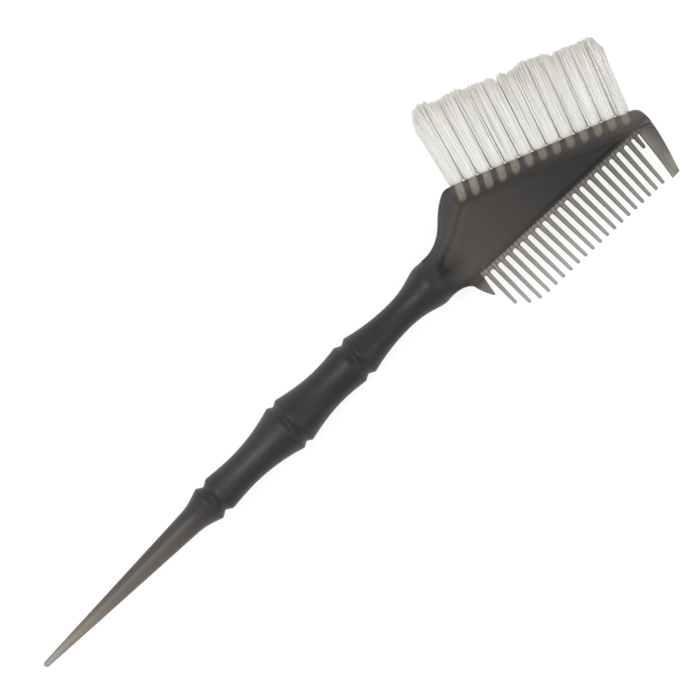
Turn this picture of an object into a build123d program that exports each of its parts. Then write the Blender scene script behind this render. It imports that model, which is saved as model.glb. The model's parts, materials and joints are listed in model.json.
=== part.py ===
from build123d import *
import math
import os

# A hair tint brush. A pin tail and a bamboo-shaped handle run into a flat head, which has a comb
# along one edge and a slanted row of nylon tufts along the other. Millimetres throughout.
# While it is built, X runs along the handle's axis from the tip of the tail, Y points from the
# comb to the bristles, and Z is through the head's thickness. The finished brush is moved so
# that the origin is under the middle of its bounding box, on the surface that it lies on.

# Tail: a straight cone with a rounded tip
TIP_RADIUS = 0.9
TAIL_END = 55.6
TAIL_END_RADIUS = 3.6

# Bamboo joints: groove position, groove radius, crest radius, distance from groove to crest,
# slope of the handle into the first crest, slope out of the second
BAMBOO_JOINTS = [
    (64.9, 4.3, 5.5, 1.9, 0.35, -0.10),
    (93.7, 6.5, 7.45, 1.6, 0.32, -0.24),
    (118.6, 5.3, 6.3, 1.8, 0.15, -0.27),
]
# Waists between the joints: position and radius
WAISTS = [(75.0, 4.92), (108.4, 5.63), (133.4, 4.38)]
CREST_FILLET = 0.5
GROOVE_FILLET = 0.3
NECK_FLARE = (142.7, 5.3)
SHOULDER = (147.5, 6.5)
NECK_END = (150.0, 6.35)

# How far cutting shapes run past the surface that they cut
CUT_MARGIN = 3.0

# Rim: the slanted edge that holds the tufts
RIM_START = Vector(170.7, 14.95)
RIM_ANGLE = -21.7
RIM_LENGTH = 52.0
RIM_DEPTH = 5.2
RIM_HALF = 3.2
RIM_EDGE_FILLET = 1.1
RIM_DIRECTION = Vector(1, 0).rotate(Axis.Z, RIM_ANGLE)
RIM_NORMAL = RIM_DIRECTION.rotate(Axis.Z, 90)

# Head: half thicknesses of its panel, comb spine and the bead between them
PANEL_HALF = 1.5
SPINE_HALF = 1.1
BEAD_HALF = 1.9
BEAD_WIDTH = 0.9
BEAD_FILLET = 0.3
SPINE_OVERRUN = 1.7
BEAD_START = Vector(161.0, -6.7)
BEAD_END = Vector(215.4, -8.7)
COMB_LINE_START = Vector(155.7, -8.6)
COMB_LINE_END = Vector(221.25, -10.52)
HEAD_BACK = [(150.0, 6.4), (153.2, 6.45), (158.2, 8.5), (163.1, 12.9), (166.7, 15.3)]
HEAD_CORNER = Vector(221.5, -7.6)
NECK_UNDERSIDE = [(153.5, -7.0), (150.0, -6.4)]
POCKET_WALL = [(153.0, 1.9), (158.7, 4.3), (163.1, 6.3), (166.6, 8.6)]
POCKET_CORNER_ALONG = 0.6
CHANNEL_RADIUS = 1.4
CHANNEL_NOSE = 1.7
CHANNEL_RUN = 163.0
CHANNEL_MOUTH = (0.8, 6.3)
FAN_SECTIONS = [(150.0, 0.0, 6.35, 6.35), (154.8, 0.1, 8.0, 3.6), (163.0, 0.6, 10.5, 1.5)]

# Comb: teeth stand at right angles to the handle's axis
TOOTH_PITCH = 2.748
FIRST_TOOTH = 160.80
LONG_TEETH = 20
SHORT_TOOTH = 215.45
TOOTH_ROOT = (1.3, 2.2)
SHORT_TOOTH_ROOT = (1.2, 2.2)
TOOTH_TIP = (0.92, 1.2)
TOOTH_TIP_FILLET = 0.35
LEAD_TIPS = [-19.95, -22.5, -23.75]
TIP_LINE_START = -23.85
TIP_LINE_END = -24.95
SHORT_TOOTH_TIP = -14.5
SHORT_TOOTH_LEAN = 0.3
# The tips bow along the row: this far forward at the tooth named, falling off by the square
TIP_BOW = 0.53
TIP_BOW_TOOTH = 7.7
TIP_BOW_RATE = 0.0112
SPINE_RIB_WIDTH = 0.9
SPINE_RIB_HEIGHT = 0.35
GUARD_OUTER = [(220.7, -13.8), (219.55, -18.4), (217.4, -25.5)]
GUARD_INNER = [(214.9, -25.6), (215.7, -20.2)]
GUARD_ROOT_INNER = 216.8
GUARD_OUTER_HALF = 1.5
GUARD_INNER_HALF = 0.7
GUARD_REACH = 30.0
SPUR_BACK = (156.7, -11.8)
SPUR_TIP = (158.2, -14.5)
SPUR_ROOT_INNER = 159.3
SPUR_HALF = 1.1

# Tufts: folded bundles, each held in a blind socket by a flat metal anchor
TUFTS = 13
TUFT_PITCH = 4.06
FIRST_TUFT = 1.4
TUFT_RADIUS = 1.4
SOCKET_DEPTH = 4.6
SOCKET_CLEARANCE = 0.03
LEAN_FIRST = 7.0
LEAN_LAST = 1.0
LEAN_POWER = 1.5
BRISTLE_LENGTH_FIRST = 24.0
BRISTLE_LENGTH_LAST = 22.6
TUFT_TIP_RADII = (2.3, 1.85)
PIVOT_HEIGHT = 1.55
ANCHOR_WIDTH = 3.6
ANCHOR_HEIGHT = 1.5
ANCHOR_THICKNESS = 0.35
ANCHOR_LIFT = 0.5
ANCHOR_CLEARANCE = 0.02


def rim_point(along, height):
    """A point in the head's plane, from a distance along the rim and a height above its face."""
    return RIM_START + RIM_DIRECTION * along + RIM_NORMAL * height


def comb_line(x):
    """The height of the line where the teeth leave the spine."""
    share = (x - COMB_LINE_START.X) / (COMB_LINE_END.X - COMB_LINE_START.X)
    return COMB_LINE_START.Y + share * (COMB_LINE_END.Y - COMB_LINE_START.Y)


def slab(outline, half):
    """An outline in the head's plane, made solid to the same thickness on both sides."""
    return extrude(outline, amount=half, both=True)


def handle():
    """Tail and bamboo handle, turned about the handle's axis."""
    corners = []
    with BuildSketch(Plane.XY) as profile:
        with BuildLine():
            tip_bulge = TIP_RADIUS * math.sqrt(0.5)
            ThreePointArc((0, 0), (TIP_RADIUS - tip_bulge, tip_bulge), (TIP_RADIUS, TIP_RADIUS))
            Line((TIP_RADIUS, TIP_RADIUS), (TAIL_END, TAIL_END_RADIUS))
            taper = (TAIL_END_RADIUS - TIP_RADIUS) / (TAIL_END - TIP_RADIUS)
            stretch = [(TAIL_END, TAIL_END_RADIUS)]
            slope_out = taper
            for joint, waist in zip(BAMBOO_JOINTS, WAISTS):
                groove, groove_radius, crest_radius, spacing, slope_in, next_slope = joint
                first_crest = (groove - spacing, crest_radius)
                second_crest = (groove + spacing, crest_radius)
                Spline(*stretch, first_crest, tangents=[(1, slope_out), (1, slope_in)])
                Polyline(first_crest, (groove, groove_radius), second_crest)
                corners += [(groove - spacing, CREST_FILLET), (groove + spacing, CREST_FILLET)]
                corners.append((groove, GROOVE_FILLET))
                stretch = [second_crest, waist]
                slope_out = next_slope
            Spline(*stretch, NECK_FLARE, SHOULDER, NECK_END, tangents=[(1, slope_out), (1, -0.02)])
            Polyline(NECK_END, (NECK_END[0], 0), (0, 0))
        make_face()
    turned = revolve(profile.sketch, Axis.X)
    for position, radius in corners:
        rings = turned.edges().filter_by(GeomType.CIRCLE)
        ring = rings.sort_by(lambda edge: abs(edge.arc_center.X - position))[0]
        turned = fillet(ring, radius)
    return turned


def head_outline():
    """The head from its neck to the line where the comb's teeth begin."""
    with BuildSketch() as outline:
        with BuildLine():
            start = HEAD_BACK[0]
            rim_end = rim_point(RIM_LENGTH, 0)
            Spline(*HEAD_BACK, RIM_START, tangents=[(1, -0.05), RIM_DIRECTION])
            Line(RIM_START, rim_end)
            Spline(rim_end, HEAD_CORNER, tangents=[RIM_DIRECTION, (-0.08, -1)])
            Polyline(HEAD_CORNER, COMB_LINE_END, COMB_LINE_START)
            Spline(COMB_LINE_START, *NECK_UNDERSIDE, tangents=[(-0.6, 0.8), (-1, -0.05)])
            Line(NECK_UNDERSIDE[-1], start)
        make_face()
    return outline.sketch


def open_area():
    """What lies inside the thick rib and rim: the pocket, the panel and the comb's spine."""
    corner = rim_point(POCKET_CORNER_ALONG, -RIM_DEPTH)
    end = rim_point(RIM_LENGTH + RIM_DEPTH, -RIM_DEPTH)
    floor = COMB_LINE_END.Y - CUT_MARGIN
    with BuildSketch() as area:
        with BuildLine():
            Spline(*POCKET_WALL, corner, tangents=[(0.9, 0.4), (0.8, 0.6)])
            Polyline(corner, end, (end.X, floor), (POCKET_WALL[0][0], floor), POCKET_WALL[0])
        make_face()
    return area.sketch


def both_faces(outline, low, high):
    """An outline made solid between two heights, on the front and on the back of the head."""
    front = extrude(Pos(0, 0, low) * outline, amount=high - low, dir=(0, 0, 1))
    return [front, mirror(front, about=Plane.XY)]


def neck_fan():
    """The round neck, flattening out into the panel."""
    sections = []
    for position, centre, half_width, half_thickness in FAN_SECTIONS:
        plane = Plane(origin=(position, centre, 0), x_dir=(0, 1, 0), z_dir=(1, 0, 0))
        sections.append(plane * Ellipse(half_width, half_thickness))
    return loft(sections)


def neck_channels():
    """The rounded end of the pocket, which runs up into the neck on both faces."""
    upper = Vector(*POCKET_WALL[0])
    lower_mouth, upper_mouth = CHANNEL_MOUTH
    with BuildSketch() as channel:
        with BuildLine():
            end = upper + Vector(CHANNEL_RADIUS - CHANNEL_NOSE, -2 * CHANNEL_RADIUS)
            nose = upper + Vector(-CHANNEL_NOSE, -CHANNEL_RADIUS)
            ThreePointArc(upper, nose, end)
            Polyline(end, (CHANNEL_RUN, lower_mouth), (CHANNEL_RUN, upper_mouth), POCKET_WALL[1], upper)
        make_face()
    return both_faces(channel.sketch, PANEL_HALF, SHOULDER[1])


def spine_ribs():
    """Low ribs that run up the comb's spine from the root of each tooth."""
    ribs = []
    for x in [FIRST_TOOTH + number * TOOTH_PITCH for number in range(LONG_TEETH)] + [SHORT_TOOTH]:
        share = (x - BEAD_START.X) / (BEAD_END.X - BEAD_START.X)
        rib_top = BEAD_START.Y + share * (BEAD_END.Y - BEAD_START.Y)
        rib_height = rib_top - comb_line(x - SPINE_RIB_WIDTH / 2)
        rib = Box(SPINE_RIB_WIDTH, rib_height, 2 * (SPINE_HALF + SPINE_RIB_HEIGHT))
        ribs.append(Pos(x, rib_top - rib_height / 2, 0) * rib)
    return ribs


def comb_bead():
    """Thickened line between the panel and the comb's spine."""
    along = BEAD_END - BEAD_START
    middle = (BEAD_START + BEAD_END) * 0.5
    tilt = math.degrees(math.atan2(along.Y, along.X))
    bar = Box(along.length, BEAD_WIDTH, 2 * BEAD_HALF)
    bar = fillet(bar.edges().filter_by(Axis.X), BEAD_FILLET)
    return Pos(middle.X, middle.Y, 0) * Rot(0, 0, tilt) * bar


def head():
    """Panel, thick rim and side rib, comb spine and the neck that joins them to the handle."""
    outline = head_outline()
    blank = slab(outline, RIM_HALF)
    flats = blank.faces().sort_by(Axis.Z)
    outer_edges = [
        edge
        for edge in flats[0].edges() + flats[-1].edges()
        if edge.center().Y > HEAD_CORNER.Y and edge.center().X > HEAD_BACK[1][0] - TUFT_RADIUS
    ]
    blank = fillet(outer_edges, RIM_EDGE_FILLET)
    spine_floor = COMB_LINE_END.Y - CUT_MARGIN
    below_bead = Polygon(
        BEAD_START,
        BEAD_END,
        (BEAD_END.X, spine_floor),
        (BEAD_START.X - SPINE_OVERRUN, spine_floor),
        align=None,
    )
    blank -= both_faces(open_area(), PANEL_HALF, RIM_HALF + CUT_MARGIN)
    blank -= both_faces(below_bead, SPINE_HALF, PANEL_HALF + CUT_MARGIN)
    fan = neck_fan() & slab(outline, SHOULDER[1])
    return blank + (fan - neck_channels()) + spine_ribs() + comb_bead()


def tooth(x, tip, root_size):
    """One comb tooth, tapering from the spine to a rounded tip at the point given."""
    spine_edge = (COMB_LINE_END - COMB_LINE_START).normalized()
    root_plane = Plane(origin=(x, comb_line(x), 0), x_dir=spine_edge, z_dir=spine_edge.rotate(Axis.Z, -90))
    tip_plane = Plane(origin=tip, x_dir=(1, 0, 0), z_dir=(0, -1, 0))
    root_face = root_plane * Rectangle(*root_size)
    tip_face = tip_plane * Rectangle(*TOOTH_TIP)
    blade = loft([root_face, tip_face])
    tip_edges = blade.faces().sort_by(Axis.Y)[0].edges()
    return fillet(tip_edges, TOOTH_TIP_FILLET)


def guard_tooth():
    """Broad end tooth, thickest along its outer edge."""
    root_inner = (GUARD_ROOT_INNER, comb_line(GUARD_ROOT_INNER))
    with BuildSketch() as outline:
        with BuildLine():
            Spline(COMB_LINE_END, *GUARD_OUTER)
            Line(GUARD_OUTER[-1], GUARD_INNER[0])
            Spline(*GUARD_INNER, root_inner)
            Line(root_inner, COMB_LINE_END)
        make_face()
    outer_x = COMB_LINE_END.X
    inner_x = GUARD_INNER[0][0]
    wedge = Polygon(
        (outer_x, -GUARD_OUTER_HALF),
        (outer_x, GUARD_OUTER_HALF),
        (inner_x, GUARD_INNER_HALF),
        (inner_x, -GUARD_INNER_HALF),
        align=None,
    )
    below = Plane(origin=(0, -GUARD_REACH, 0), x_dir=(1, 0, 0), z_dir=(0, -1, 0))
    wedge_bar = extrude(below * wedge, amount=-GUARD_REACH)
    return slab(outline.sketch, GUARD_OUTER_HALF) & wedge_bar


def spur():
    """Small hook at the neck end of the comb."""
    root_inner = (SPUR_ROOT_INNER, comb_line(SPUR_ROOT_INNER))
    with BuildSketch() as outline:
        with BuildLine():
            Spline(COMB_LINE_START, SPUR_BACK, SPUR_TIP)
            Polyline(SPUR_TIP, root_inner, COMB_LINE_START)
        make_face()
    return slab(outline.sketch, SPUR_HALF)


def comb_teeth():
    """Every tooth of the comb, each a solid of its own that stands on the spine."""
    teeth = [guard_tooth(), spur()]
    for number in range(LONG_TEETH):
        x = FIRST_TOOTH + number * TOOTH_PITCH
        tip_x = x + TIP_BOW - TIP_BOW_RATE * (number - TIP_BOW_TOOTH) ** 2
        tip_y = TIP_LINE_START + number / (LONG_TEETH - 1) * (TIP_LINE_END - TIP_LINE_START)
        if number < len(LEAD_TIPS):
            tip_y = LEAD_TIPS[number]
        teeth.append(tooth(x, (tip_x, tip_y, 0), TOOTH_ROOT))
    teeth.append(tooth(SHORT_TOOTH, (SHORT_TOOTH - SHORT_TOOTH_LEAN, SHORT_TOOTH_TIP, 0), SHORT_TOOTH_ROOT))
    return teeth


def tuft_plane(number, height):
    """Plane across a tuft's axis, at a height above the rim's face measured along the tuft."""
    share = number / (TUFTS - 1)
    lean = LEAN_LAST + (LEAN_FIRST - LEAN_LAST) * (1 - share) ** LEAN_POWER
    direction = RIM_NORMAL.rotate(Axis.Z, lean)
    pivot = rim_point(FIRST_TUFT + number * TUFT_PITCH, PIVOT_HEIGHT)
    origin = pivot + direction * (height - PIVOT_HEIGHT)
    return Plane(origin=origin, x_dir=(0, 0, 1), z_dir=direction)


def socket(number):
    """Blind hole for one tuft, with the slits that its anchor cuts in the wall."""
    bottom = tuft_plane(number, -SOCKET_DEPTH)
    hole = extrude(bottom * Circle(TUFT_RADIUS + SOCKET_CLEARANCE), amount=SOCKET_DEPTH + CUT_MARGIN)
    return hole + anchor(number, ANCHOR_CLEARANCE)


def anchor(number, clearance=0.0):
    """Flat metal plate across the socket, just above the fold of the tuft."""
    bottom = tuft_plane(number, ANCHOR_LIFT - SOCKET_DEPTH - clearance)
    plate = bottom * Rectangle(ANCHOR_WIDTH + 2 * clearance, ANCHOR_THICKNESS + 2 * clearance)
    return extrude(plate, amount=ANCHOR_HEIGHT + 2 * clearance)


def tuft_root(number):
    """Folded part of a tuft inside its socket, wrapped round the anchor."""
    bottom = tuft_plane(number, SOCKET_CLEARANCE - SOCKET_DEPTH)
    plug = extrude(bottom * Circle(TUFT_RADIUS), amount=SOCKET_DEPTH + 1)
    above_rim = Plane(origin=rim_point(0, 0), x_dir=RIM_DIRECTION, z_dir=RIM_NORMAL)
    plug -= extrude(above_rim * Rectangle(3 * RIM_LENGTH, 4 * RIM_HALF), amount=CUT_MARGIN)
    return plug - anchor(number, ANCHOR_CLEARANCE)


def bristle_tuft(number):
    """Free part of a tuft: round where it leaves the rim, broader towards its tip."""
    share = number / (TUFTS - 1)
    length = BRISTLE_LENGTH_FIRST + share * (BRISTLE_LENGTH_LAST - BRISTLE_LENGTH_FIRST)
    base = tuft_plane(number, PIVOT_HEIGHT)
    knuckle = base * Sphere(TUFT_RADIUS)
    tip = tuft_plane(number, length)
    bundle = loft([base * Circle(TUFT_RADIUS), tip * Ellipse(*TUFT_TIP_RADII)])
    return knuckle + bundle


def all_nodes():
    """Every named piece of the brush, in the frame that it is built in."""
    drilled_head = head()
    for number in range(TUFTS):
        drilled_head -= socket(number)
    nodes = {"handle": [handle()], "head": [drilled_head], "comb_teeth": comb_teeth()}
    for number in range(TUFTS):
        label = f"{number + 1:02d}"
        nodes[f"tuft_anchor_{label}"] = [anchor(number)]
        nodes[f"tuft_root_{label}"] = [tuft_root(number)]
        nodes[f"bristle_tuft_{label}"] = [bristle_tuft(number)]
    return nodes


def main():
    nodes = all_nodes()
    box = Compound([solid for solids in nodes.values() for solid in solids]).bounding_box()
    to_rest = Vector(-box.center().X, -box.center().Y, -box.min.Z)
    os.makedirs("parts", exist_ok=True)
    for name, solids in nodes.items():
        export_step(Compound([solid.translate(to_rest) for solid in solids]), f"parts/{name}.step")
    print("moved by", to_rest)


main()
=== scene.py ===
import json
import math
import random

import bmesh
import bpy
import numpy as np
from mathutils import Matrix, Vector


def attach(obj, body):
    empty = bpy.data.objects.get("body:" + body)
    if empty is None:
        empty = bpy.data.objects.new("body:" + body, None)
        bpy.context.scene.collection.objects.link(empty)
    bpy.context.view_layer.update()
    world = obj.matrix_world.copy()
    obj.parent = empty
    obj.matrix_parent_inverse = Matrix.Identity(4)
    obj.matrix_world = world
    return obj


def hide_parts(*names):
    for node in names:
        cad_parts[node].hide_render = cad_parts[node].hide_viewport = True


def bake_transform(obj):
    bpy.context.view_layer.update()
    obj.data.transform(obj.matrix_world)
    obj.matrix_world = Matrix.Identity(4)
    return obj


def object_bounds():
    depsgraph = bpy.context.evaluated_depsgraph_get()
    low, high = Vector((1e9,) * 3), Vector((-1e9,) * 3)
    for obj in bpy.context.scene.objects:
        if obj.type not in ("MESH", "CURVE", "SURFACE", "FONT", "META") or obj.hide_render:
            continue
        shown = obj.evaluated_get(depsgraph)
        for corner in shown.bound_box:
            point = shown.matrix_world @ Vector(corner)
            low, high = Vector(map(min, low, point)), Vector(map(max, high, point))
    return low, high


# Places and lengths are in mm, and shades are display values from 0 to 255, unless a comment says otherwise
MM = 0.001
WHITE_LEVEL = 255
SEED = 11

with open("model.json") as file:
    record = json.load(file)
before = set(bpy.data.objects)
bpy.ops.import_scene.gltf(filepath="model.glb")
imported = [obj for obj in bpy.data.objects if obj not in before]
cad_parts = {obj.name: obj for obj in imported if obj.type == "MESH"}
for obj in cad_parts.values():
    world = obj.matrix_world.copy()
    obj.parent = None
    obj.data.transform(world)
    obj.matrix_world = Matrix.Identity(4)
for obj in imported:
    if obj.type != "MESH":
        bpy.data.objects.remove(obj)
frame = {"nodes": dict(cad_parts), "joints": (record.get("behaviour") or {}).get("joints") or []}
cad_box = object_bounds()
nodes = frame["nodes"]
scene = bpy.context.scene

# The brush's own frame: X along the handle from the tail tip, Y towards the bristles, on the handle's axis.
# The rim's frame: along the rim from its end at the neck, and height out of it.
HINGE_ALONG = 26.0
HINGE_HEIGHT = 1.55
HINGE_ABOVE_AXIS = 6.777
hinge = Vector(frame["joints"][0]["pos_m"])
rim_way = Vector(frame["joints"][0]["axis"]).normalized()
rim_out = Vector((-rim_way.y, rim_way.x, 0.0))
tail = Vector((cad_box[0].x, hinge.y - HINGE_ABOVE_AXIS * MM, hinge.z))
rim_start = hinge - rim_way * HINGE_ALONG * MM - rim_out * HINGE_HEIGHT * MM

# Tufts and their filaments
TUFTS = 13
TUFT_PITCH = 4.06
FIRST_TUFT = 1.4
TUFT_RADIUS = 1.36
FILAMENTS = 320
FILAMENT_RADIUS = 0.11
FILAMENT_TAPER = 0.15
FILAMENT_SIDES = 4
FILAMENT_STEPS = 9
STEP_CROWDING = 1.8
JITTER = 0.05
ROOT_DEPTH = 0.8
SPREAD_ALONG = 1.56
SPREAD_DEPTH = 1.5
SQUARENESS = 0.62
# Share of the height in which a tuft opens out, and share of its spread that it reaches there
OPENING_SHARE = 0.03
EARLY_SPREAD = 0.8
# Tip wander along the rim and in depth, of most filaments and of a few strays
WANDER = (0.22, 0.2)
STRAY_WANDER = (1.0, 0.7)
STRAY_SHARE = 0.035
BOW = 0.25
# Unevenness of the tips: clumps, single filaments, the drop at a tuft's faces, and a few short filaments
CLUMP_WIDTH = 0.6
CLUMP_UNEVEN = 0.2
TIP_UNEVEN = 0.15
FACE_DROP = 0.25
SHORT_SHARE = 0.06
SHORT_BY = (0.2, 1.4)
# Tip shift along the rim of each tuft's middle, by tuft
TUFT_LEAN = [(0, -2.75), (3, -2.0), (6, -1.35), (9, -0.7), (12, -0.1)]
# Height of the bristle ends along the rim
TIP_LINE = [
    (-3.6, 17.6), (-3.3, 20.6), (-2.3, 22.6), (-0.3, 23.9), (2.4, 23.3), (5.5, 23.0), (8.0, 23.3),
    (10.3, 23.6), (13.1, 22.9), (16.8, 23.0), (20.8, 22.9), (21.9, 21.3), (22.5, 22.0), (23.7, 23.2),
    (25.5, 22.4), (27.8, 23.2), (31.7, 23.6), (35.5, 23.3), (37.4, 23.0), (38.3, 21.8), (39.6, 22.8),
    (41.8, 22.7), (46.4, 22.4), (49.6, 22.8), (50.4, 22.5), (51.0, 20.8), (52.1, 18.6),
]
# How much darker a tuft's outer filaments are, by share of height, as painted shade where the tufts shade each
# other; the dullest strand; the farthest tuft, darker as painted shade away from the key lamp
VALLEY_SHADE = [(0.0, 0.95), (0.12, 0.9), (0.3, 0.5), (0.6, 0.12), (1.0, 0.05)]
DULLEST_STRAND = 0.45
FAR_TUFT_SHADE = 0.3
NYLON_BODY = [(0.0, (255, 254, 251)), (0.3, (255, 255, 253)), (0.7, (253, 252, 249)), (1.0, (249, 247, 243))]
NYLON_STRAND = [(0.0, (206, 205, 200)), (0.3, (240, 239, 235)), (1.0, (255, 255, 255))]

# The moulding's skin
SKIN_VOXEL = 0.2
RELAX_ROUNDS = 300
SKIN_SMOOTHING = (0.5, 4)
SKIN_TRIANGLES = 180000
RELAX_STEP = 0.5
RELAX_LEAST = 0.01
# Outline of the head's back edge, and of the wall between the rib and the panel
HEAD_BACK = [(150.0, 6.4), (153.2, 6.45), (158.2, 8.5), (163.1, 12.9), (166.7, 15.3), (170.7, 15.0)]
POCKET_WALL = [(151.5, 0.6), (153.0, 1.9), (158.7, 4.3), (163.1, 6.3), (166.6, 8.6), (169.2, 9.9)]
RIM_DEPTH = 5.2
# The panel steps down to the comb's spine on a line through this point, with this fall
COMB_START = 160.0
COMB_STEP_HEIGHT = -7.12
COMB_STEP_FALL = 0.033
# Softened places: reach of each, and for spots their middle and reach along and across the handle
WALL_REACH = 1.9
UNDER_RIM_DROP = 0.3
UNDER_RIM_REACH = 2.3
BEAD_RISE = 1.0
BEAD_REACH = 0.55
NECK_SPOT = (156.5, -1.0, 7.5, 5.2)
NECK_STRENGTH = 1.6
GUARD_SPOT = (217.5, -6.0, 4.0, 2.4)
GUARD_STRENGTH = 1.5
CORNER_STRENGTH = 1.3
# Zones where softening fades in or out
UNDER_RIM_START = (-2.0, 0.0)
UNDER_RIM_END = (47.0, 50.0)
BEAD_START = (160.0, 163.0)
BACK_MARGIN = (0.9, 2.4)
COMB_MARGIN = (-7.2, -6.0)
NECK_START = (146.0, 151.0)
FLAT_FACES = (0.5, 0.9)

# Shades of the tail and handle along X. Side runs from -1 on the comb side to 1 on the bristle side.
TAIL_HALF_WIDTH = [(0, 0.9), (55, 3.6), (65, 5.5)]
TAIL_LIGHT = [
    (0, 166), (3, 162), (8, 152), (14, 138), (20, 126), (26, 110), (32, 100), (38, 92), (44, 84), (50, 74),
    (55, 62), (60, 46), (65, 34), (75, 34), (93, 32), (100, 30), (150, 32),
]
# Painted shade: the tail darker on its bristle side and lighter on its comb side, as the lamps fall
TAIL_SIDE_PAINTED_SHADE = [(0, 6), (9, 2), (14, 14), (46, 12), (60, 0)]
# Painted light: the handle lighter on its bristle side, where its highlight leans, and darker on its comb side
HANDLE_SIDE_PAINTED_LIGHT = [(-1, -8), (0, 0), (1, 8)]
HANDLE_START = (58, 72)
# A painted highlight along the handle's crown, a band just to the bristle side of the middle: its side, reach
# and lightness along X
HIGHLIGHT_SIDE = 0.15
HIGHLIGHT_REACH = 0.45
CROWN_PAINTED_HIGHLIGHT = [(58, 0), (70, 10), (78, 16), (88, 10), (98, 2), (110, 8), (120, 0)]
TAIL_BROWN = [(0, 0.7), (10, 1.0), (30, 1.0), (60, 0.8), (80, 0.6), (100, 0.2), (150, 0.0)]
TAIL_SIDE_BROWN = [(-1, 1.0), (0, 0.9), (1, 0.35)]
TAIL_CLEAR = [(0, 0.3), (12, 0.36), (20, 0.42), (45, 0.22), (60, 0.05), (70, 0.0)]
TAIL_THIN = (46, 62)
TAIL_THINNESS = 1.1
# Scratches on the tail: position, half length and direction in radians
TAIL_SCRATCHES = [(41.5, 1.7, 0.5, 1.9), (35.8, 0.4, 0.35, 0.6)]
SCRATCH_LIGHT = 42
SCRATCH_REACH = 0.16

# Shades of the head
HEAD_START = (147, 154)
PANEL_LIGHT = [
    (152, 36), (156, 48), (160, 62), (170, 54), (178, 46),
    (190, 32), (200, 24), (208, 26), (216, 52),
]
PANEL_BROWN = [(152, 0.8), (158, 1.0), (180, 0.9), (195, 0.6), (210, 0.6)]
# Painted shade along the panel's step down to the comb, centred a little above the step
PANEL_STEP_SHADE = 12
PANEL_EDGE_RISE = 0.3
# Painted shade in the hollow along the pocket wall; below it, the reach of both painted shades on the panel
PANEL_WALL_SHADE = 10
PANEL_SHADE_REACH = 0.9
RIM_LIGHT = [(0, 46), (20, 40), (40, 42), (50, 60)]
RIM_TOP_LIGHT = 20
RIM_TOP = (-3.9, -1.8)
RIM_BOTTOM = (-6.4, -5.2)
RIM_NECK_END = (-1.8, -0.6)
RIM_BROWN = 0.7
RIB_FROM_WALL = (0.6, 2.6)
RIB_LIGHT = 54
RIB_BROWN = 0.1
# The guard starts on a sloped line, and its lines read depth below the handle's axis
GUARD_START = (213.6, 216.4)
GUARD_TILT = 0.12
GUARD_TILT_FROM = -8
GUARD_TOP = -8.5
GUARD_FADE = (0.0, 3.5)
GUARD_LIGHT = [(8, 84), (12, 100), (18, 130), (24, 190)]
GUARD_MIDDLE = [(8, 219.0), (25, 216.3)]
GUARD_SIDE_LIGHT = 16
GUARD_HALF_WIDTH = 1.6
GUARD_BROWN = 0.95
GUARD_CLEAR = [(8, 0.1), (24, 0.6)]
SPUR_TOP = -8.4
SPUR_FADE = (0.0, 3.0)
SPUR_START = (153, 156)
SPUR_END = 160.3
SPUR_LIGHT = 118
SPUR_BROWN = 0.9
SPUR_CLEAR = 0.45

# Shades of the comb, by height above the panel's step
TOOTH_PITCH = 2.748
FIRST_TOOTH = 160.8
COMB_EDGE = (0.2, -0.5)
COMB_BEGINS = (159.0, 159.5)
TOOTH_RUN = (-14.0, -1.0)
TOOTH_ROOT_LIGHT = 134
TOOTH_TIP_LIGHT = 176
FAR_TEETH = (178.0, 206.0)
FAR_TEETH_DARK = 0.09
COMB_BROWN = 0.55
COMB_CLEAR = 0.55
# Painted shade on thin parts where their surface turns away from the front and back: its depth and sharpness
TURNED_EDGE_SHADE = 0.36
TURNED_EDGE_POWER = 1.5
SPINE_FADE = (-3.4, -2.2)
SPINE_LINES = ((4, 0.05), (8, 0.035))

# Tuft roots seen through the rim
PATCH_COLOUR = (142, 137, 119)
PATCH_SLANT = 0.1
PATCH_EDGE = (1.5, 0.7)
PATCH_ROUNDING = 0.5
PATCH_FOOT = (-5.7, -4.1)
PATCH_SHORTER = (2.0, 26.0, 0.0, 1.7)
PATCH_ROW_START = (-1.0, -0.4)
PATCH_ROW_END = (51.8, 51.3)
PATCH_ALONG = (0.0, 26.0, 0.92, 0.56)
PATCH_UP = (-5.0, -0.5, 0.5, 1.0)
PATCH_MOTTLE = (0.35, 0.62, 0.8, 1.1)

# Brown of the smoked plastic at each lightness
NEUTRAL_STOPS = (0, 30, 60, 90, 120, 150, 180, 210, 255)
WARM_SMOKE = [
    (0, (0, 0, 0)), (30, (32, 29, 27)), (60, (65, 59, 56)), (90, (98, 88, 82)), (120, (129, 118, 106)),
    (150, (158, 148, 136)), (180, (186, 178, 168)), (210, (214, 208, 202)), (255, (255, 255, 255)),
]

# Textures: scale, detail and stretch
CLOUDS = (90, 4)
STREAKS = (60, 3, (0.12, 1, 1))
MOTTLING = (1100, 2)
SHEEN = (400, 4)
FINE_GRAIN = (900, 3)
SCUFFS = (700, 2, (0.06, 1, 1))
NYLON_GRAIN = (3000, 2)
METAL_WEAR = (1500, 3, (1, 0.2, 1))
PAPER = (40, 3)
CLOUD_AMOUNT = 0.05
STREAK_AMOUNT = 0.03


# ---------------------------------------------------------------- numbers
def profile(x, points):
    """Values read off a line through points."""
    return np.interp(x, *zip(*points))


def interpolate(x, points):
    """One value read off a line through points."""
    return float(profile(x, points))


def linear(value):
    """A display value as scene-linear light."""
    v = value / WHITE_LEVEL
    return v / 12.92 if v <= 0.04045 else ((v + 0.055) / 1.055) ** 2.4


def colour(r, g, b):
    return (linear(r), linear(g), linear(b), 1.0)


def step(low, high, value):
    """0 below low, 1 above high, and smooth between."""
    t = np.clip((value - low) / (high - low), 0, 1)
    return t * t * (3 - 2 * t)


def hill(*offsets):
    """1 where every offset is 0, falling smoothly to 0."""
    return np.exp(-sum(offset ** 2 for offset in offsets))


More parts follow.
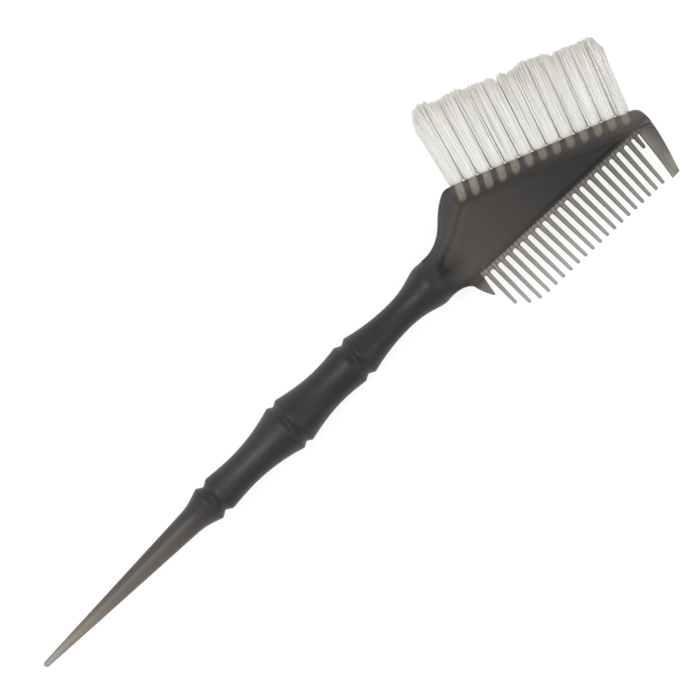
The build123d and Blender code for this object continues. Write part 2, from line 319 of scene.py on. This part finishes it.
def spot(x, y, place):
    middle_x, middle_y, reach_x, reach_y = place
    return hill((x - middle_x) / reach_x, (y - middle_y) / reach_y)


def turning(amount, a, b):
    """Values that turn from a into b."""
    return a * (1 - amount) + b * amount


def own_frame(points):
    """Points along and across the handle's axis, and above it."""
    return (points - np.array(tail)) / MM


def rim_frame(points):
    """Points along the rim and above it."""
    offset = (points - np.array(rim_start)) / MM
    return offset @ np.array(rim_way), offset @ np.array(rim_out)


def line_distance(x, y, corners):
    """Distance from points to an open line through corners."""
    best = np.full(len(x), np.inf)
    for (ax, ay), (bx, by) in zip(corners, corners[1:]):
        run, rise_by = bx - ax, by - ay
        t = np.clip(((x - ax) * run + (y - ay) * rise_by) / (run * run + rise_by * rise_by), 0, 1)
        best = np.minimum(best, np.hypot(x - ax - t * run, y - ay - t * rise_by))
    return best


def line_side(x, y, corners):
    """Above zero on the bristle side of a line through corners."""
    return y - profile(x, corners)


def comb_step(x):
    """Where the panel steps down to the comb's spine."""
    return COMB_STEP_HEIGHT - (x - COMB_START) * COMB_STEP_FALL


# ---------------------------------------------------------------- nodes
def new_material(name):
    material = bpy.data.materials.new(name)
    material.use_nodes = True
    tree = material.node_tree
    return material, tree, tree.nodes["Principled BSDF"]


def plug(tree, socket, value):
    """Feeds a socket with another socket or with a constant."""
    if isinstance(value, bpy.types.NodeSocket):
        tree.links.new(value, socket)
    else:
        socket.default_value = value


def add(tree, kind, inputs, **settings):
    node = tree.nodes.new("ShaderNode" + kind)
    for key, value in settings.items():
        setattr(node, key, value)
    for key, value in inputs.items():
        plug(tree, node.inputs[key], value)
    return node


def vertex_value(tree, name):
    """A vertex value of the mesh."""
    return add(tree, "Attribute", {}, attribute_name=name).outputs["Fac"]


def coordinates(tree, kind):
    return add(tree, "TexCoord", {}).outputs[kind]


def maths(tree, operation, a, b=0.0):
    return add(tree, "Math", {0: a, 1: b}, operation=operation).outputs[0]


def plus(tree, a, b):
    return maths(tree, "ADD", a, b)


def minus(tree, a, b):
    return maths(tree, "SUBTRACT", a, b)


def product(tree, *values):
    total = values[0]
    for value in values[1:]:
        total = maths(tree, "MULTIPLY", total, value)
    return total


def between(tree, value, low, high, first=0.0, last=1.0, kind="SMOOTHSTEP"):
    """A value carried from low to high over to first and last, and held outside them."""
    return add(
        tree, "MapRange",
        {"Value": value, "From Min": low, "From Max": high, "To Min": first, "To Max": last},
        interpolation_type=kind,
    ).outputs["Result"]


def straight(tree, value, limits):
    return between(tree, value, *limits, "LINEAR")


def blended(tree, amount, a, b):
    """One number turning into another."""
    return add(tree, "Mix", {0: amount, 2: a, 3: b}, data_type="FLOAT").outputs[0]


def mix(tree, amount, a, b, blend="MIX"):
    """One colour turning into another."""
    return add(tree, "Mix", {0: amount, 6: a, 7: b}, data_type="RGBA", blend_type=blend).outputs[2]


def ramp(tree, value, stops):
    """A colour read off a ramp through stops of place and display colour."""
    node = add(tree, "ValToRGB", {"Fac": value})
    elements = node.color_ramp.elements
    while len(elements) < len(stops):
        elements.new(0.5)
    for element, (place, shade) in zip(elements, stops):
        element.position = place
        element.color = colour(*shade)
    return node.outputs["Color"]


def noise(tree, scale, detail, stretch=(1, 1, 1)):
    mapped = add(tree, "Mapping", {"Vector": coordinates(tree, "Object"), "Scale": stretch})
    return add(
        tree, "TexNoise",
        {"Vector": mapped.outputs[0], "Scale": scale, "Detail": detail, "Roughness": 0.55},
    ).outputs["Fac"]


def varied(tree, value, texture, amount):
    """A value moved up and down by a texture."""
    return plus(tree, value, product(tree, minus(tree, noise(tree, *texture), 0.5), amount))


def distance_along(tree, origin, way):
    """Distance from a point of the object, along a direction."""
    offset = add(
        tree, "VectorMath", {0: coordinates(tree, "Object"), 1: origin}, operation="SUBTRACT"
    ).outputs["Vector"]
    far = add(tree, "VectorMath", {0: offset, 1: way}, operation="DOT_PRODUCT").outputs["Value"]
    return maths(tree, "DIVIDE", far, MM)


def feed(tree, shader, sockets):
    """Feeds the shader's own sockets by name."""
    for name, value in sockets.items():
        plug(tree, shader.inputs[name], value)


def bumped(tree, height, strength, distance):
    return add(tree, "Bump", {"Height": height, "Strength": strength, "Distance": distance}).outputs["Normal"]


# ---------------------------------------------------------------- moulding
def joined(names):
    whole = bmesh.new()
    for name in names:
        whole.from_mesh(nodes[name].data)
    mesh = bpy.data.meshes.new("moulding")
    whole.to_mesh(mesh)
    whole.free()
    return mesh


def apply_modifiers(obj):
    depsgraph = bpy.context.evaluated_depsgraph_get()
    mesh = bpy.data.meshes.new_from_object(obj.evaluated_get(depsgraph))
    obj.modifiers.clear()
    obj.data = mesh


def place_mesh(name, mesh):
    obj = bpy.data.objects.new(name, mesh)
    scene.collection.objects.link(obj)
    return obj


def shade_smooth(mesh):
    for polygon in mesh.polygons:
        polygon.use_smooth = True


def write_values(mesh, painted):
    """Vertex values that a material reads by name."""
    for name, values in painted:
        attribute = mesh.attributes.new(name, "FLOAT", "POINT")
        attribute.data.foreach_set("value", values)


def relax(points, edges, weight, rounds):
    """Moves each point towards its neighbours' middle, by its own weight."""
    moving = weight > RELAX_LEAST
    edges = edges[moving[edges].any(axis=1)]
    used, edges = np.unique(edges, return_inverse=True)
    edges = edges.reshape(-1, 2)
    part = points[used]
    pull = RELAX_STEP * (weight * moving)[used][:, None]
    count = np.bincount(edges.ravel(), minlength=len(part))[:, None]
    total = np.zeros_like(part)
    for _ in range(rounds):
        for axis in range(3):
            total[:, axis] = np.bincount(edges[:, 0], part[edges[:, 1], axis], len(part))
            total[:, axis] += np.bincount(edges[:, 1], part[edges[:, 0], axis], len(part))
        part = part + pull * (total / count - part)
    points = points.copy()
    points[used] = part
    return points


def soften_head(obj):
    """Rounds the moulding's inner corners, as a mould's blends do, and leaves its outline alone."""
    points = np.empty(len(obj.data.vertices) * 3, np.float32)
    obj.data.vertices.foreach_get("co", points)
    points = points.reshape(-1, 3).astype(float)
    edges = np.empty(len(obj.data.edges) * 2, np.int32)
    obj.data.edges.foreach_get("vertices", edges)
    x, y, z = own_frame(points).T
    along, height = rim_frame(points)
    wall = hill(line_distance(x, y, POCKET_WALL) / WALL_REACH)
    under_rim = hill((height + RIM_DEPTH + UNDER_RIM_DROP) / UNDER_RIM_REACH)
    under_rim = under_rim * step(*UNDER_RIM_START, along) * (1 - step(*UNDER_RIM_END, along))
    neck = spot(x, y, NECK_SPOT) * NECK_STRENGTH
    bead_top = hill((y - comb_step(x) - BEAD_RISE) / BEAD_REACH) * step(*BEAD_START, x)
    corners = np.maximum(np.maximum(wall, under_rim), np.maximum(neck, bead_top))
    weight = np.clip(corners * CORNER_STRENGTH, 0, 1)
    weight *= step(*BACK_MARGIN, line_distance(x, y, HEAD_BACK)) * step(*COMB_MARGIN, y) * step(*NECK_START, x)
    guard_root = spot(x, y, GUARD_SPOT) * GUARD_STRENGTH * step(*FLAT_FACES, np.abs(z))
    weight = np.maximum(weight, np.clip(guard_root, 0, 1))
    rounds = RELAX_ROUNDS
    points = relax(points, edges.reshape(-1, 2), weight, rounds)
    obj.data.vertices.foreach_set("co", points.astype(np.float32).ravel())
    obj.data.update()


def make_moulding():
    """One continuous skin over the handle, the head and the comb."""
    obj = place_mesh("moulding_skin", joined(["handle", "head", "comb_teeth"]))
    remesh = obj.modifiers.new("voxels", "REMESH")
    remesh.mode = "VOXEL"
    remesh.voxel_size = SKIN_VOXEL * MM
    remesh.adaptivity = 0.0
    smooth = obj.modifiers.new("soften", "SMOOTH")
    smooth.factor, smooth.iterations = SKIN_SMOOTHING
    apply_modifiers(obj)
    soften_head(obj)
    triangles = 2 * len(obj.data.polygons)
    if triangles > SKIN_TRIANGLES:
        decimate = obj.modifiers.new("thin", "DECIMATE")
        decimate.ratio = SKIN_TRIANGLES / triangles
        apply_modifiers(obj)
    shade_smooth(obj.data)
    return obj


def tail_shades(x, y):
    """Lightness, brownness and clearness of the tail and handle, with painted shade and painted light on their
    bristle sides and a painted highlight along the handle's crown.
    """
    side = np.clip(y / profile(x, TAIL_HALF_WIDTH), -1, 1)
    light = profile(x, TAIL_LIGHT)
    # Painted shade on the tail's bristle side
    light = light - side * profile(x, TAIL_SIDE_PAINTED_SHADE)
    # Painted light on the handle's bristle side, painted shade on its comb side
    light = light + profile(side, HANDLE_SIDE_PAINTED_LIGHT) * step(*HANDLE_START, x)
    # Painted highlight along the handle's crown
    light = light + hill((side - HIGHLIGHT_SIDE) / HIGHLIGHT_REACH) * profile(x, CROWN_PAINTED_HIGHLIGHT)
    brown = profile(x, TAIL_BROWN) * profile(side, TAIL_SIDE_BROWN)
    return light, brown, profile(x, TAIL_CLEAR)


def scratch_light(x, y, front):
    """Extra lightness of the scratches on the tail's front."""
    total = 0
    for place_x, place_y, length, turn in TAIL_SCRATCHES:
        run = (x - place_x) * math.cos(turn) + (y - place_y) * math.sin(turn)
        off = (y - place_y) * math.cos(turn) - (x - place_x) * math.sin(turn)
        total = total + SCRATCH_LIGHT * hill(run / length, off / SCRATCH_REACH) * front
    return total


def paint_moulding(obj):
    """Vertex values that the material reads: how light the plastic looks, painted shade and highlight
    included, how brown, and how clear.
    """
    points = np.array([v.co for v in obj.data.vertices], float)
    x, y, _ = own_frame(points).T
    along, height = rim_frame(points)
    comb_edge = comb_step(x)
    wall_gap = line_distance(x, y, POCKET_WALL[1:])

    in_head = step(*HEAD_START, x)
    in_rim = step(*RIM_BOTTOM, height) * step(*RIM_NECK_END, along)
    rib = step(*RIB_FROM_WALL, wall_gap) * (line_side(x, y, POCKET_WALL) > 0) * (1 - in_rim)
    guard = step(*GUARD_START, x + (y - GUARD_TILT_FROM) * GUARD_TILT) * step(*GUARD_FADE, GUARD_TOP - y)
    spur = step(*SPUR_FADE, SPUR_TOP - y) * (x < SPUR_END) * step(*SPUR_START, x)

    panel_light = profile(x, PANEL_LIGHT)
    # Painted shade along the step down to the comb
    panel_light = panel_light - PANEL_STEP_SHADE * hill((y - comb_edge - PANEL_EDGE_RISE) / PANEL_SHADE_REACH)
    # Painted shade in the hollow along the pocket wall
    panel_light = panel_light - PANEL_WALL_SHADE * hill(wall_gap / PANEL_SHADE_REACH)
    rim_light = profile(along, RIM_LIGHT) + RIM_TOP_LIGHT * step(*RIM_TOP, height)
    from_middle = np.clip(profile(-y, GUARD_MIDDLE) - x, -GUARD_HALF_WIDTH, GUARD_HALF_WIDTH)
    guard_light = profile(-y, GUARD_LIGHT) + GUARD_SIDE_LIGHT * from_middle
    tail_light, tail_brown, tail_clear = tail_shades(x, y)

    light, brown, clear = panel_light, profile(x, PANEL_BROWN), 0
    for region, its_light, its_brown, its_clear in (
        (rib, RIB_LIGHT, RIB_BROWN, 0),
        (in_rim, rim_light, RIM_BROWN, 0),
        (guard, guard_light, GUARD_BROWN, profile(-y, GUARD_CLEAR)),
        (spur, SPUR_LIGHT, SPUR_BROWN, SPUR_CLEAR),
    ):
        light = turning(region, light, its_light)
        brown = turning(region, brown, its_brown)
        clear = turning(region, clear, its_clear)
    light = turning(in_head, tail_light, light) + scratch_light(x, y, points[:, 2] > tail.z)
    brown = turning(in_head, tail_brown, brown)
    clear = turning(in_head, tail_clear, clear)
    thin = np.maximum(np.maximum(guard, spur), TAIL_THINNESS * (1 - step(*TAIL_THIN, x)))
    painted = (
        ("lightness", light / WHITE_LEVEL), ("brownness", brown), ("clearness", clear), ("guard", guard),
        ("thinness", thin),
    )
    write_values(obj.data, [(name, values.astype(np.float32)) for name, values in painted])


def root_patches(tree):
    """How strongly a light tuft root shows through the rim, from 0 to 1."""
    along = distance_along(tree, rim_start, rim_way)
    height = distance_along(tree, rim_start, rim_out)
    slanted = minus(tree, minus(tree, along, FIRST_TUFT), product(tree, height, PATCH_SLANT))
    near = product(tree, maths(tree, "PINGPONG", maths(tree, "DIVIDE", slanted, TUFT_PITCH), 0.5), TUFT_PITCH)
    round_end = product(tree, near, near, PATCH_ROUNDING)
    shorter = between(tree, along, *PATCH_SHORTER)
    return product(
        tree,
        between(tree, near, *PATCH_EDGE),
        between(tree, minus(tree, minus(tree, height, round_end), shorter), *PATCH_FOOT),
        between(tree, along, *PATCH_ROW_START),
        between(tree, along, *PATCH_ROW_END),
        straight(tree, along, PATCH_ALONG),
        straight(tree, height, PATCH_UP),
        straight(tree, noise(tree, *MOTTLING), PATCH_MOTTLE),
    )


def smoked_plastic():
    material, tree, shader = new_material("smoked_plastic")
    light, brown, clear = (vertex_value(tree, name) for name in ("lightness", "brownness", "clearness"))

    x = distance_along(tree, tail, (1.0, 0.0, 0.0))
    y = distance_along(tree, tail, (0.0, 1.0, 0.0))
    fall = product(tree, minus(tree, x, COMB_START), COMB_STEP_FALL)
    above = plus(tree, minus(tree, y, COMB_STEP_HEIGHT), fall)
    comb = product(
        tree, between(tree, above, *COMB_EDGE), between(tree, x, *COMB_BEGINS),
        minus(tree, 1.0, vertex_value(tree, "guard")),
    )
    tooth = straight(tree, above, (*TOOTH_RUN, TOOTH_TIP_LIGHT / WHITE_LEVEL, TOOTH_ROOT_LIGHT / WHITE_LEVEL))
    tooth = minus(tree, tooth, between(tree, x, *FAR_TEETH, 0.0, FAR_TEETH_DARK))
    light = blended(tree, comb, light, tooth)
    brown = blended(tree, comb, brown, COMB_BROWN)
    clear = blended(tree, comb, clear, COMB_CLEAR)

    # Painted shade: thin parts look darker where their surface turns away from the front and back
    thin = maths(tree, "MAXIMUM", vertex_value(tree, "thinness"), comb)
    normal = add(tree, "SeparateXYZ", {0: coordinates(tree, "Normal")}).outputs["Z"]
    turned = maths(tree, "POWER", minus(tree, 1.0, maths(tree, "ABSOLUTE", normal)), TURNED_EDGE_POWER)
    light = product(tree, light, minus(tree, 1.0, product(tree, turned, thin, TURNED_EDGE_SHADE)))

    # Faint lines across the comb's spine
    phase = maths(tree, "DIVIDE", minus(tree, x, FIRST_TOOTH), TOOTH_PITCH)
    lines = [
        product(tree, maths(tree, "COSINE", product(tree, phase, count * math.pi)), depth)
        for count, depth in SPINE_LINES
    ]
    light = plus(tree, light, product(tree, plus(tree, *lines), comb, between(tree, above, *SPINE_FADE)))
    light = varied(tree, light, CLOUDS, CLOUD_AMOUNT)
    light = varied(tree, light, STREAKS, STREAK_AMOUNT)

    neutral = ramp(tree, light, [(v / WHITE_LEVEL, (v, v, v)) for v in NEUTRAL_STOPS])
    warm = ramp(tree, light, [(v / WHITE_LEVEL, shade) for v, shade in WARM_SMOKE])
    base = mix(tree, root_patches(tree), mix(tree, brown, neutral, warm), colour(*PATCH_COLOUR))
    relief = plus(
        tree, product(tree, noise(tree, *FINE_GRAIN), 0.4), product(tree, noise(tree, *SCUFFS), 0.35)
    )
    feed(tree, shader, {
        "Base Color": base,
        "Transmission Weight": clear,
        "Roughness": plus(tree, 0.34, product(tree, noise(tree, *SHEEN), 0.18)),
        "Normal": bumped(tree, relief, 0.12, 0.0002),
        "IOR": 1.5,
        "Specular IOR Level": 0.38,
    })
    return material


# ---------------------------------------------------------------- bristles
def rise(ring):
    """Share of a filament's height reached at a ring; rings are closer together near the root."""
    return (ring / FILAMENT_STEPS) ** STEP_CROWDING


def filament_path(number, across, depth, rng):
    """Points of one filament: along the rim, above it, and in depth."""
    centre = FIRST_TUFT + number * TUFT_PITCH
    lean = interpolate(number, TUFT_LEAN)
    wander = [rng.uniform(-most, most) for most in WANDER]
    if rng.random() < STRAY_SHARE:
        wander = [rng.uniform(-most, most) for most in STRAY_WANDER]
    square = math.hypot(across, depth) / max(abs(across), abs(depth), 1e-6)
    spread_along = SPREAD_ALONG * (1 + SQUARENESS * (square - 1))
    spread_depth = SPREAD_DEPTH * (1 + SQUARENESS * (square - 1))
    tip_along = centre + lean + across * spread_along + wander[0]
    clump = random.Random(round(tip_along / CLUMP_WIDTH) + 1000 * SEED).gauss(0, CLUMP_UNEVEN)
    reach = interpolate(tip_along, TIP_LINE) + clump + rng.gauss(0, TIP_UNEVEN)
    reach -= FACE_DROP * (depth / TUFT_RADIUS) ** 2
    if rng.random() < SHORT_SHARE:
        reach -= rng.uniform(*SHORT_BY)
    bow = rng.uniform(-BOW, BOW)
    points = []
    for ring in range(FILAMENT_STEPS + 1):
        height = -ROOT_DEPTH + (reach + ROOT_DEPTH) * rise(ring)
        t = max(height, 0.0) / reach
        opening = min(1.0, t / OPENING_SHARE)
        flare = EARLY_SPREAD * opening * (2 - opening) + (1 - EARLY_SPREAD) * t
        along = centre + across + lean * t + across * (spread_along - 1) * flare + wander[0] * t * t
        deep = depth + depth * (spread_depth - 1) * flare + wander[1] * t * t
        along += bow * math.sin(math.pi * t) * 0.5
        points.append((along, height, deep))
    return points


def make_tuft(number):
    rng = random.Random(SEED + number)
    # Painted shade: tufts farther from the key lamp are darker
    far_shade = 1 - FAR_TUFT_SHADE * number / (TUFTS - 1)
    verts, faces, shares, tones_and_shades = [], [], [], []
    golden = math.pi * (3 - math.sqrt(5))
    for index in range(FILAMENTS):
        radius = TUFT_RADIUS * math.sqrt((index + 0.5) / FILAMENTS)
        angle = golden * index + number
        across = radius * math.cos(angle) + rng.uniform(-JITTER, JITTER)
        depth = radius * math.sin(angle) + rng.uniform(-JITTER, JITTER)
        path = filament_path(number, across, depth, rng)
        tint = rng.random()
        outer = min(1.0, abs(across) / TUFT_RADIUS) ** 2
        strand = far_shade * (DULLEST_STRAND + (1 - DULLEST_STRAND) * tint)
        first = len(verts)
        for ring, (along, height, deep) in enumerate(path):
            share = rise(ring)
            # Painted shade: outer filaments darker low down, where the neighbouring tufts shade them
            shade = strand * (1 - outer * interpolate(share, VALLEY_SHADE))
            thick = FILAMENT_RADIUS * (1.0 - FILAMENT_TAPER * share)
            for side in range(FILAMENT_SIDES):
                turn = 2 * math.pi * side / FILAMENT_SIDES + tint * 3
                point = rim_start + rim_way * (along + thick * math.cos(turn)) * MM + rim_out * height * MM
                point.z += (deep + thick * math.sin(turn)) * MM
                verts.append(point)
                shares.append(share)
                tones_and_shades.append(shade)
        for ring in range(FILAMENT_STEPS):
            for side in range(FILAMENT_SIDES):
                a = first + ring * FILAMENT_SIDES + side
                b = first + ring * FILAMENT_SIDES + (side + 1) % FILAMENT_SIDES
                faces.append((a, b, b + FILAMENT_SIDES, a + FILAMENT_SIDES))
        last = first + FILAMENT_STEPS * FILAMENT_SIDES
        faces.append(tuple(last + side for side in range(FILAMENT_SIDES)))
        faces.append(tuple(first + side for side in reversed(range(FILAMENT_SIDES))))
    mesh = bpy.data.meshes.new(f"bristles_{number + 1:02d}")
    mesh.from_pydata(verts, [], faces)
    write_values(mesh, (("along", shares), ("strand", tones_and_shades)))
    shade_smooth(mesh)
    obj = place_mesh(f"bristles_{number + 1:02d}", mesh)
    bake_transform(obj)
    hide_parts(f"bristle_tuft_{number + 1:02d}")
    return obj


def nylon():
    material, tree, shader = new_material("nylon_bristle")
    body = ramp(tree, vertex_value(tree, "along"), NYLON_BODY)
    shade = ramp(tree, vertex_value(tree, "strand"), NYLON_STRAND)
    grain = noise(tree, *NYLON_GRAIN)
    feed(tree, shader, {
        "Base Color": mix(tree, 1.0, body, shade, "MULTIPLY"),
        "Roughness": plus(tree, 0.45, product(tree, grain, 0.18)),
        "Normal": bumped(tree, grain, 0.08, 0.00005),
        "IOR": 1.53,
    })
    return material


def anchor_metal():
    material, tree, shader = new_material("anchor_metal")
    wear = noise(tree, *METAL_WEAR)
    feed(tree, shader, {
        "Base Color": ramp(tree, wear, [(0.3, (168, 166, 160)), (0.7, (205, 204, 200))]),
        "Roughness": plus(tree, 0.25, product(tree, wear, 0.2)),
        "Metallic": 1.0,
    })
    return material


# ---------------------------------------------------------------- stage, in metres
FLOOR_HALF = 3.0
FLOOR_DROP = 0.00005
FLOOR_GLOW = 0.83
WORLD_LIGHT = 0.75
# Lamps: place, size and power in watts
LAMPS = {
    "key": ((-0.20, 0.15, 0.60), (0.36, 0.22), 1.3),
    "fill": ((0.42, -0.34, 0.60), (0.5, 0.5), 1.0),
}
# Camera: middle of the view in the brush's frame, width of the view there, and turn
VIEW_MIDDLE = (119.5, 2.83, 0.0)
VIEW_WIDTH = 190.4
VIEW_TURN = math.radians(-44.65)


def make_stage():
    mesh = bpy.data.meshes.new("floor")
    corners = [(x * FLOOR_HALF, y * FLOOR_HALF, 0) for x, y in ((-1, -1), (1, -1), (1, 1), (-1, 1))]
    mesh.from_pydata(corners, [], [(0, 1, 2, 3)])
    floor = place_mesh("floor", mesh)
    floor.location = (0, 0, -FLOOR_DROP)
    material, tree, shader = new_material("floor_paper")
    feed(tree, shader, {
        "Base Color": ramp(tree, noise(tree, *PAPER), [(0.3, (128, 128, 128)), (0.7, (132, 132, 132))]),
        "Roughness": 0.9,
        "Specular IOR Level": 0.1,
        "Emission Color": (1.0, 1.0, 1.0, 1.0),
        "Emission Strength": FLOOR_GLOW,
    })
    mesh.materials.append(material)

    world = bpy.data.worlds.new("studio")
    scene.world = world
    world.use_nodes = True
    background = world.node_tree.nodes["Background"]
    background.inputs["Color"].default_value = (1.0, 1.0, 1.0, 1.0)
    background.inputs["Strength"].default_value = WORLD_LIGHT

    for name, (place, size, power) in LAMPS.items():
        light = bpy.data.lights.new(name, "AREA")
        light.shape = "RECTANGLE"
        light.size, light.size_y = size
        light.energy = power
        lamp = place_mesh(name, light)
        lamp.location = place
        lamp.rotation_euler = (-lamp.location).to_track_quat("-Z", "Y").to_euler()


def make_camera():
    data = bpy.data.cameras.new("camera")
    data.lens = 100
    data.sensor_width = 36
    data.clip_start, data.clip_end = 0.01, 10
    camera = place_mesh("camera", data)
    distance = VIEW_WIDTH * MM * data.lens / data.sensor_width
    camera.location = tail + Vector(VIEW_MIDDLE) * MM + Vector((0, 0, distance))
    camera.rotation_euler = (0, 0, VIEW_TURN)
    scene.camera = camera


# ---------------------------------------------------------------- assembly
def dress(obj, material):
    obj.data.materials.clear()
    obj.data.materials.append(material)


scene.view_settings.view_transform = "Standard"
scene.view_settings.look = "None"
scene.cycles.max_bounces = 24
scene.cycles.diffuse_bounces = 20

skin = make_moulding()
paint_moulding(skin)
dress(skin, smoked_plastic())
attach(skin, "moulding")
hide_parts("handle", "head", "comb_teeth")

white = nylon()
metal = anchor_metal()
for tuft in range(TUFTS):
    dress(make_tuft(tuft), white)
    dress(nodes[f"tuft_root_{tuft + 1:02d}"], white)
    dress(nodes[f"tuft_anchor_{tuft + 1:02d}"], metal)

make_stage()
make_camera()
